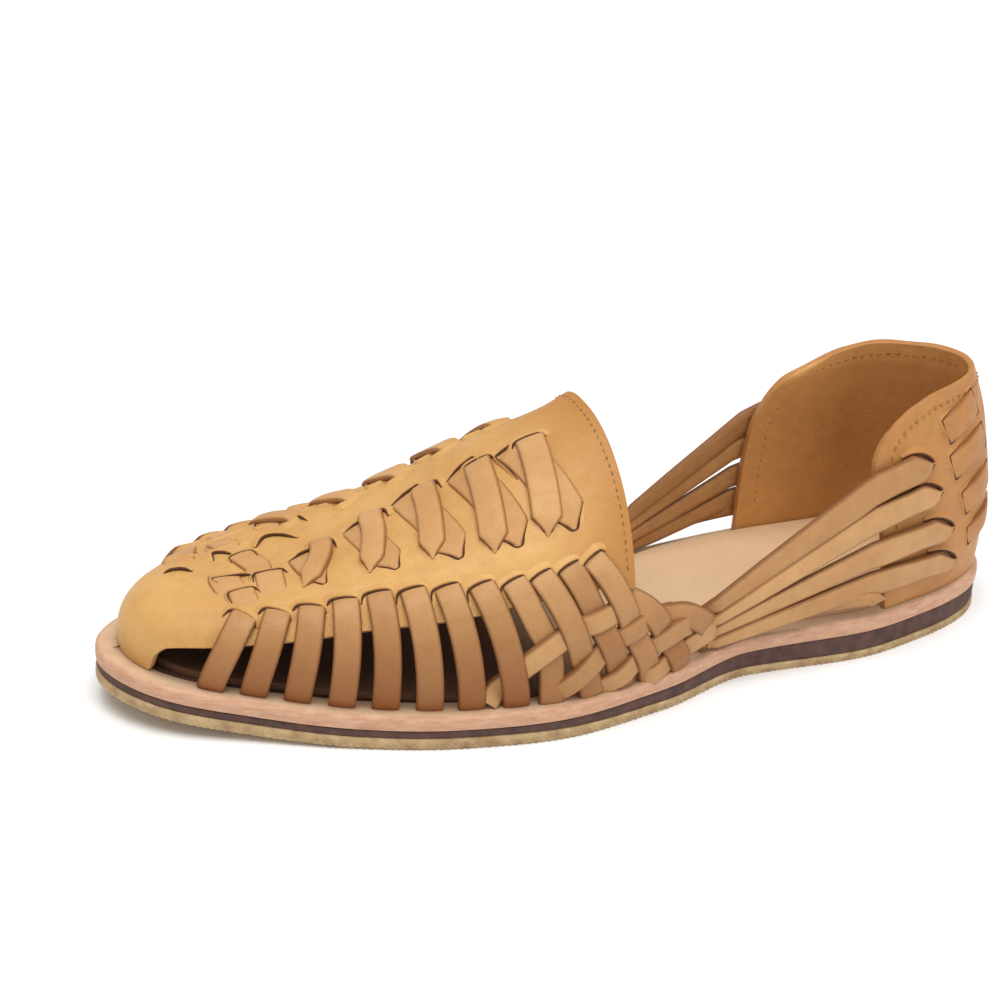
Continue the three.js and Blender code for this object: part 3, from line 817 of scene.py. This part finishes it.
def shell(outer, inner, ends=((0, 1), (-1, -2))):
    """A wall between two grids of points, with rounded edges. Faces are 0 outside, 1 on the
    cut edges and 2 inside; ends lists the columns that are closed, with their neighbours."""
    columns, rows = outer.shape[:2]
    last = rounded_edge(outer[:, -1], inner[:, -1], outer[:, -2])
    first = rounded_edge(outer[:, 0], inner[:, 0], outer[:, 1])
    wrap = np.concatenate([outer, last[:, None], inner[:, ::-1], first[:, None]], 1)
    size = wrap.shape[1]
    faces = ring_faces(columns, size)
    cut = (rows - 1, rows, size - 2, size - 1)
    materials = [1 if k in cut else (0 if k < rows else 2) for k in range(size)]
    materials *= columns - 1
    points = [wrap.reshape(-1, 3)]
    total = columns * size
    for end, beside in ends:
        points.append(rounded_edge(outer[end], inner[end], outer[beside]))
        base = end % columns * size
        for j in range(rows - 1):
            back = base + size - 2 - j
            faces.append([base + j, base + j + 1, total + j + 1, total + j])
            faces.append([total + j, total + j + 1, back - 1, back])
        faces.append([base + rows - 1, base + rows, total + rows - 1])
        faces.append([base + rows, base + rows + 1, total + rows - 1])
        faces.append([base, total, base + size - 1])
        faces.append([total, base + size - 2, base + size - 1])
        total += rows
    materials += [1] * (len(faces) - len(materials))
    return Part(np.concatenate(points), faces, materials=materials)


VAMP_COLUMNS, VAMP_ROWS = 190, 150
THROAT_TONE, THROAT_TONE_X, THROAT_TONE_FADE = 0.95, 158, 24


def vamp_relief(x, rise):
    """Swell of the leather: soft waves, a puff over the row of slits, a flare at the throat."""
    swell = 0.22 * np.sin(x * 0.31 + rise * 0.07) * np.sin(rise * 0.16 - x * 0.05)
    low = np.minimum(rise, 180 - rise)
    band = slit_line(x) + 4
    puff = 0.55 * np.exp(-(((low - band) / 5) ** 2)) * np.clip((x - 140) / 15, 0, 1)
    flare = 0.5 * np.clip((140 - x) / 6, 0, 1)
    return (swell + puff) * np.clip((252 - x) / 12, 0, 1) + flare


def vamp_part():
    """The vamp's panel, darker near the throat."""
    start = math.acos(2 * share_at(THROAT_X) - 1)
    around = np.linspace(start, 0, VAMP_COLUMNS)
    x = FEATHER[0] + FOOT_LENGTH * (1 + np.cos(around)) / 2
    share = np.linspace(0, 1, VAMP_ROWS)
    low = free_edge(x)
    rise = low[:, None] + (180 - 2 * low[:, None]) * share
    xs = np.broadcast_to(x[:, None], rise.shape)
    outer = lifted(xs, rise, vamp_relief(xs, rise))
    inner = lifted(xs, rise, np.full(xs.shape, -UPPER_WALL))
    part = shell(outer, inner, [(0, 1)])
    fade = (THROAT_TONE_X - part.points[:, 0]) / THROAT_TONE_FADE
    part.tone = THROAT_TONE * np.clip(fade, 0, 1)
    return part


def stitches(points, normals, radius, stitch, pitch, lift=0.1):
    """Stitches of one length along a line, at an even pitch and lifted off it."""
    run = run_along(points)
    parts = []
    for start in np.arange(pitch, run[-1] - pitch, pitch):
        at = start + np.array([0, 0.2, 0.5, 0.8, 1]) * stitch
        centre = np.stack([np.interp(at, run, points[:, k]) for k in range(3)], -1)
        normal = unit(np.stack([np.interp(at, run, normals[:, k]) for k in range(3)], -1))
        along = unit(np.gradient(centre, axis=0))
        across = np.cross(along, normal)
        out, up = round_tube(radius * np.array([0.35, 0.9, 1, 0.9, 0.35])[:, None])
        sink = np.array([-0.35, 0, 0.12, 0, -0.35]) + lift
        parts.append(sweep(rings_round(centre, across, normal, out, up + sink[:, None])))
    return parts


def build_vamp():
    build("vamp", [vamp_part()], ["vamp", "cut", "flesh"], ["upper"], WELD)
    rise = np.linspace(free_edge(THROAT_X) + 3, 177 - free_edge(THROAT_X), 160)
    x = np.full_like(rise, THROAT_X + 1.9)
    row = stitches(lifted(x, rise, vamp_relief(x, rise)), last_normal(x, rise),
                   radius=0.2, stitch=1.7, pitch=2.3, lift=0.02)
    build("throat_stitches", row, ["thread"], [])


# ---- strips of the vamp
FLANK_LIFTS = [(0, -2.4), (0.05, -1.9), (0.11, -0.7), (0.19, 0.1), (0.45, 0.1), (0.62, -0.1),
               (0.9, -0.4), (0.96, -0.9), (1, -1.9)]
OVER_LIFTS = [(0, -2.0), (0.05, -1.3), (0.12, 0.2), (0.25, 0.55), (0.7, 0.5), (0.9, 0), (1, -1.1)]
UNDER_LIFTS = [(0, -1.7), (0.06, -1.3), (0.14, -0.75), (0.5, -0.7), (0.9, -0.7), (1, -1.2)]
TOE_LIFTS = [(0, -1.7), (0.06, -1.3), (0.2, -0.85), (0.6, -1.0), (0.85, -1.5), (1, -2.0)]
STRIP_HALF = 3.6
OVER_WALL, UNDER_WALL = 1.4, 1.2


def tone_of(k, spread=0.28):
    """A fixed small difference in tone from strip to strip."""
    return spread * (0.5 + 0.5 * math.sin(k * 2.399 + 0.7))


def medial_slit(x):
    """The medial row of slits lies lower than the lateral one."""
    return 180 - (free_edge(x) + 0.45 * (slit_line(x) - free_edge(x)))


def flank_strips():
    strips, slits = [], []
    for k, (foot, top) in enumerate(SIDE_STRIPS):
        for rise, end, past in ((float(slit_line(top)), 0, 1.5),
                                (float(medial_slit(top)), 180, -1.5)):
            nodes = [(top, rise + past), ((top + foot) / 2, (rise + end) / 2), (foot, end)]
            strips.append(strip(nodes, STRIP_HALF, FLANK_LIFTS, tone=tone_of(k, 0.12), painted_shade=0.85))
            slits.append(slit_round(nodes[0], nodes[1], STRIP_HALF, ARCH))
    return strips, slits


def top_straps():
    strips, slits = [], []
    rows = [(row, OVER_LIFTS, OVER_WALL, ARCH, 0.0) for row in OVER_STRAPS]
    rows += [(row, UNDER_LIFTS, UNDER_WALL, HOOK, 0.15) for row in UNDER_STRAPS]
    for k, (row, lifts, thick, head, tone) in enumerate(rows):
        x_slit, lat_slit, x_tip, lat_tip, med_slit, med_tip, half = row
        for nodes in ([(x_slit, lat_slit), (x_tip, lat_tip)],
                      [(x_slit, med_slit), (x_tip, med_tip)]):
            strips.append(strip(nodes, half, lifts, thick, tip=half * 1.15,
                                tone=tone + tone_of(k, 0.2), painted_shade=0.25))
            path = surface_path(nodes)
            slits.append(slit_round(nodes[0], path[len(path) * 2 // 5], half, head, 0.9))
            slits.append(slit_round(nodes[1], path[-5], half, POINT, 0.15))
    return strips, slits


def toe_bits():
    strips, slits = [], []
    for k, (x_slit, slit_rise, x_end, end_rise, half) in enumerate(TOE_BITS):
        for nodes in ([(x_slit, slit_rise), (x_end, end_rise)],
                      [(x_slit, TOE_TWINS - slit_rise), (x_end, TOE_TWINS - end_rise)]):
            strips.append(strip(nodes, half, TOE_LIFTS, OVER_WALL, tone=0.1 + tone_of(k, 0.2)))
            slits.append(slit_round(nodes[0], nodes[1], half, SHORT_HOOK, 0.8))
    for nodes in TOE_SLITS:
        points, normals = on_last(surface_path(nodes, 0.6))
        slits.append(slit(points, normals, points.mean(0) - np.array([0, -3, 3])))
    return strips, slits


# ---- the waist weave
WEAVE_OVER, WEAVE_UNDER = 0.35, -1.45  # heights of a strip's underside at a crossing
CROSS_REACH = 4.0
WEAVE_WALL, DOWN_HALF, UP_HALF = 1.7, 3.5, 3.2
FROM_SLIT = 4  # how many of the strips coming down start at a slit
SLIT_START = [(0, -2.4), (0.05, -1.9), (0.12, -0.3)]
TUCKED_START = [(0, -1.2), (0.1, -2.9), (0.16, -2.2)]


def crossings(path, others):
    """(share of the path, number of the other) wherever another path crosses it."""
    mine = last_point(*surface_path(path, 0.8).T)
    found = []
    for number, other in enumerate(others):
        theirs = last_point(*surface_path(other, 0.8).T)
        away = np.linalg.norm(mine[:, None] - theirs[None], axis=-1)
        at = np.unravel_index(np.argmin(away), away.shape)
        if away[at] < CROSS_REACH:
            found.append((at[0] / (len(mine) - 1), number))
    return sorted(found)


def woven_lifts(path, others, over, start, end):
    """Heights of a path that goes over some of the others and under the rest, after its
    start rows. over holds the numbers of those it goes over."""
    lifts = list(start)
    for share, number in crossings(path, others):
        if start[-1][0] + 0.06 < share < 0.95 and share - lifts[-1][0] > 0.05:
            lifts.append((share, WEAVE_OVER if number in over else WEAVE_UNDER))
    return [*lifts, (1, end)]


def waist_weave():
    strips, slits = [], []
    for lateral in (True, False):
        for i, path in enumerate(WEAVE_DOWN):
            nodes = path if lateral else mirrored(path)
            start = SLIT_START if i < FROM_SLIT else [(0, -2.8)]
            over = [j for j in range(len(WEAVE_UP)) if (i + j) % 2]
            lifts = woven_lifts(path, WEAVE_UP, over, start, -1.3)
            strips.append(strip(nodes, DOWN_HALF, lifts, WEAVE_WALL, tone=tone_of(i + 9, 0.2),
                                painted_shade=0.6))
            if i < FROM_SLIT:
                slits.append(slit_round(nodes[0], nodes[1], DOWN_HALF, ARCH))
        for j, path in enumerate(WEAVE_UP):
            nodes = path if lateral else mirrored(path)
            over = [i for i in range(len(WEAVE_DOWN)) if (i + j + 1) % 2]
            start = [(0, -2.2)] if j else TUCKED_START
            lifts = woven_lifts(path, WEAVE_DOWN, over, start, -1.9)
            strips.append(strip(nodes, UP_HALF, lifts, WEAVE_WALL, tone=0.15 + tone_of(j + 20)))
    return strips, slits


def build_slits(name, slits):
    """The lips of the vamp's or the counter's slits, and the dark tubes that paint the shadow in
    them.
    """
    build(name + "_slit_lips", [lip for lip, _ in slits], [name], [])
    build(name + "_slit_shadow_lines", [shade_tube for _, shade_tube in slits], ["shade_tube"], [])


def build_strips():
    flank, flank_slits = flank_strips()
    tops, top_slits = top_straps()
    bits, bit_slits = toe_bits()
    weave, weave_slits = waist_weave()
    build("flank_strips", flank, ["strap"], ["upper"])
    build("top_straps", tops, ["top"], [])
    build("toe_weave", bits, ["top"], [])
    build("waist_weave", weave, ["strap"], ["upper"])
    build_slits("vamp", flank_slits + top_slits + bit_slits + weave_slits)


# ---- the heel
COUNTER_COLUMNS, COUNTER_ROWS = 150, 60


def counter_place(around, up):
    """x and rise on the counter: around is -1 to 1 from the medial to the lateral front
    edge, and up is the share of the height."""
    front = np.where(around < 0, medial_front(up), lateral_front(up))
    reach = 1 - np.cos(np.abs(around) * math.pi / 2)
    x = FEATHER[0] + (front - FEATHER[0]) * reach
    rises = []
    for side in (-1, 1):
        foot = foot_point(side, x)[..., 2]
        height = foot + (counter_rim(np.abs(around)) - foot) * up
        rises.append(rise_at(side, x, height))
    return x, np.where(around < 0, rises[0], rises[1])


# The stitched line inside the counter's edge: share of the way round, share of the height.
COUNTER_STITCH = [(0.945, 0.12), (0.945, 0.4), (0.945, 0.68), (0.93, 0.82), (0.875, 0.905),
                  (0.75, 0.935), (0.45, 0.945), (0, 0.945)]
RIM_THIN, FRONT_THIN = 0.9, 0.5
LINING_PAINTED_SHADE = 0.55
COUNTER_THREAD = {"radius": 0.26, "stitch": 1.8, "pitch": 2.6}


def counter_part():
    """The counter's panel, thinner at its edges, with painted shade on its lining, darker low down
    and towards the back.
    """
    around = np.linspace(-1, 1, COUNTER_COLUMNS)[:, None]
    around, up = np.broadcast_arrays(around, np.linspace(0, 1, COUNTER_ROWS)[None])
    x, rise = counter_place(around, up)
    wave = 0.15 * np.sin(x * 0.35 + up * 9) * np.sin(up * 17)
    thin = RIM_THIN * np.clip((up - 0.9) / 0.1, 0, 1)
    thin = thin + FRONT_THIN * np.clip((np.abs(around) - 0.93) / 0.07, 0, 1)
    part = shell(lifted(x, rise, wave), lifted(x, rise, thin - COUNTER_WALL))
    # Painted shade on the lining, deepest low down at the back of the heel.
    depth = np.clip((72 - part.points[:, 2]) / 40, 0, 1)
    inside = np.arange(len(part.points)) % (2 * COUNTER_ROWS + 2) > COUNTER_ROWS
    part.tone = inside * LINING_PAINTED_SHADE * depth * np.clip((60 - part.points[:, 0]) / 30, 0, 1)
    return part


def build_counter():
    build("heel_counter_shell", [counter_part()], ["counter", "counter", "lining"],
          ["heel_counter"])
    line = resampled(COUNTER_STITCH, 0.004)
    rows = []
    for side in (1, -1):
        x, rise = counter_place(side * line[:, 0], line[:, 1])
        outside, normals = on_last(np.stack([x, rise], -1))
        inside = outside + normals * (0.45 - COUNTER_WALL)
        rows += stitches(outside, normals, **COUNTER_THREAD)
        rows += stitches(inside, -normals, **COUNTER_THREAD)
    build("counter_stitches", rows, ["thread"], [])


STRAP_CORNER_HIGH, STRAP_CORNER_LOW = 8.5, 4.5  # length of the pointed end's slopes
STRAP_TIP = 0.4  # height of the point as a share of the width
STRAP_SWELL = 0.24  # the straps are wider between their ends
STRAP_NARROW, STRAP_SINK = 0.5, 1.6  # at the front, where they go under the weave
STRAP_THICKNESS = 1.7
STRAP_ORDER = (-0.12, 0.28)  # every other strap lies a little higher in front


def strap_height(row, share, x):
    """Height of a line on a rear strap, share 0 at its low edge and 1 at its high one."""
    front_low, front_high, end_x, end_low, end_high, bow = row
    run = (STRAP_FRONT_X - x) / (STRAP_FRONT_X - end_x)
    rise = bow * 4 * run * (1 - run)
    low = front_low + (end_low - front_low) * run + rise
    high = front_high + (end_high - front_high) * run + rise
    tip = low + (high - low) * STRAP_TIP
    high = tip + (high - tip) * np.clip((x - end_x) / STRAP_CORNER_HIGH, 0.06, 1)
    low = tip + (low - tip) * np.clip((x - end_x) / STRAP_CORNER_LOW, 0.06, 1)
    return low + (high - low) * share


def strap_point(side, row, share, x, lift):
    """Points on a line of a rear strap, at a height over the last."""
    rise = rise_at(side, x, strap_height(row, share, x))
    return lifted(x, rise, np.full(x.shape, lift))


def strap_line(side, row, share, x):
    """Outer face of a rear strap: over the counter behind, taut in front."""
    over = STRAP_WALL + GAP
    lift_x = float(STRAP_LIFT_X[side])
    behind = strap_point(side, row, share, np.minimum(x, lift_x), over)
    back = strap_point(side, row, share, np.array([lift_x]), over)
    front = strap_point(side, row, share, np.array([STRAP_FRONT_X]), GAP)
    run = (x - lift_x) / (STRAP_FRONT_X - lift_x)
    return np.where((x <= lift_x)[:, None], behind, back + (front - back) * run[:, None])


def rear_strap(side, k, row):
    """One rear strap, with ends that sink under the weave and into the counter."""
    x = np.linspace(STRAP_FRONT_X + 3, row[2] - 0.6, 84)
    low, high = strap_line(side, row, 0.0, x), strap_line(side, row, 1.0, x)
    middle = (low + high) / 2
    across = unit(high - low)
    swell = np.clip((x - row[2] - 14) / 12, 0, 1) * np.clip((STRAP_FRONT_X + 4 - x) / 18, 0, 1)
    front = np.clip((x - STRAP_FRONT_X + 2) / 4, 0, 1)
    half = np.linalg.norm(high - low, axis=-1) / 2 * (
        1.02 + STRAP_SWELL * swell - STRAP_NARROW * front)
    along = unit(np.gradient(middle, axis=0))
    normals = unit(np.cross(along, across))
    near_x = np.minimum(x, 100)
    outward = last_normal(near_x, rise_at(side, near_x, middle[:, 2]))
    normals = normals * np.sign(np.sum(normals * outward, -1, keepdims=True))
    sink = front * STRAP_SINK
    order = STRAP_ORDER[k % 2] * np.clip((x - 60) / 20, 0, 1)
    dip = np.clip((row[2] + 2.5 - x) / 2.5, 0, 1) * 1.5
    centres = middle - normals * (STRAP_THICKNESS + sink + dip - order)[:, None]
    return ribbon(centres, normals, across, half, STRAP_THICKNESS, tone_of(k + 3, 0.3), 0.2)


def strap_slit(side, row):
    """The arrow-shaped slit that a rear strap's end goes into."""
    end_x = row[2]
    # Places of the corners: x, share of the width, extra height.
    corners = [(end_x + STRAP_CORNER_HIGH + 3, 1, 0.2), (end_x + STRAP_CORNER_HIGH, 1, 0.3),
               (end_x - 0.4, STRAP_TIP, 0), (end_x + STRAP_CORNER_LOW, 0, -0.3),
               (end_x + STRAP_CORNER_LOW + 4, 0, -0.2)]
    nodes = []
    for x, share, extra in corners:
        height = strap_height(row, share, np.array([max(x, end_x)])) + extra
        nodes.append((x, float(rise_at(side, np.array([x]), height)[0])))
    points, normals = on_last(surface_path(nodes, 0.6))
    centre = strap_point(side, row, 0.5, np.array([end_x + 6.0]), 0.0)[0]
    return slit(points + normals * 0.1, normals, centre, 1.0, 0.5, 0.7)


LOW_LIFTS = [(0, -1.9), (0.1, -0.4), (0.4, 0.4), (0.8, 1.0), (1, 1.2)]
BACK_LIFTS = [(0, -1.3), (0.12, -0.9), (0.5, -0.35), (0.88, -0.9), (1, -1.3)]
BACK_WALL = 1.5


def build_straps():
    slits, back = [], []
    for side, name in ((1, "lateral"), (-1, "medial")):
        straps = [rear_strap(side, k, row) for k, row in enumerate(REAR_STRAPS)]
        low = LOW_STRAP if side > 0 else mirrored(LOW_STRAP)
        straps.append(strip(low, LOW_HALF, LOW_LIFTS, LOW_WALL, LOW_TIP, LOW_TONE))
        build("straps_" + name, straps, ["strap"], ["rear_straps_" + name])
        slits += [strap_slit(side, row) for row in REAR_STRAPS]
        for k, (x_front, low, x_back, high, half) in enumerate(BACK_WEAVE):
            nodes = [(x_front, low), (x_back, high)]
            nodes = nodes if side > 0 else mirrored(nodes)
            back.append(strip(nodes, half, BACK_LIFTS, BACK_WALL, tone=tone_of(k + 5)))
            for end, inner in (nodes, nodes[::-1]):
                slits.append(slit_round(end, inner, half, FLUSH_END, 0.35))
    build("back_weave", back, ["counter"], [])
    build_slits("counter", slits)


# ---- stage
CAMERA_PLACE = (0.2621, 0.5150, 0.3265)
CAMERA_TARGET = (-0.0013, -0.0525, 0.020)
CAMERA_ROLL = math.radians(3.9)
CAMERA_LENS = 84.3
FLOOR_REACH = 6
WORLD_STRENGTH = 0.5
# Lights: name, kind, place, energy, size in metres or angle of the sun.
LIGHTS = [
    ("key", "AREA", (0.15, 0.25, 1.5), 12.2, 1.3),
    ("sky", "SUN", (0.15, 0.25, 1.5), 1.25, math.radians(50)),
    ("fill", "AREA", (-0.8, 1.1, 0.7), 3.5, 1.0),
]


def aimed(place, target=(0, 0, 0)):
    """The matrix of a camera or a light that looks from its place at a target."""
    towards = (Vector(target) - Vector(place)).to_track_quat("-Z", "Y")
    return Matrix.Translation(place) @ towards.to_matrix().to_4x4()


def build_camera():
    camera = add_object("camera", bpy.data.cameras.new("camera"))
    camera.data.lens = CAMERA_LENS
    roll = Matrix.Rotation(CAMERA_ROLL, 4, "Z")
    camera.matrix_world = aimed(CAMERA_PLACE, CAMERA_TARGET) @ roll
    bpy.context.scene.camera = camera


def add_light(name, kind, place, energy, spread):
    light = bpy.data.lights.new(name, kind)
    light.energy = energy
    if kind == "SUN":
        light.angle = spread
    else:
        light.size = spread
    add_object(name, light).matrix_world = aimed(place)


def build_stage():
    s = Shader("floor")
    colour = s.mix(s.noise(3), rgb(250, 250, 250), rgb(246, 246, 246))
    mesh = bpy.data.meshes.new("floor")
    corners = [(x * FLOOR_REACH, y * FLOOR_REACH, 0)
               for x, y in ((-1, -1), (1, -1), (1, 1), (-1, 1))]
    mesh.from_pydata(corners, [], [(0, 1, 2, 3)])
    mesh.materials.append(s.finish(colour, 0.6, 0.7, 2))
    floor = add_object("floor", mesh)
    world = bpy.data.worlds.new("studio")
    world.use_nodes = True
    background = world.node_tree.nodes["Background"]
    background.inputs["Color"].default_value = (1, 1, 1, 1)
    background.inputs["Strength"].default_value = WORLD_STRENGTH
    bpy.context.scene.world = world
    bpy.context.scene.view_settings.view_transform = "Standard"
    for row in LIGHTS:
        add_light(*row)


build_sole()
build_vamp()
build_strips()
build_counter()
build_straps()
build_camera()
build_stage()
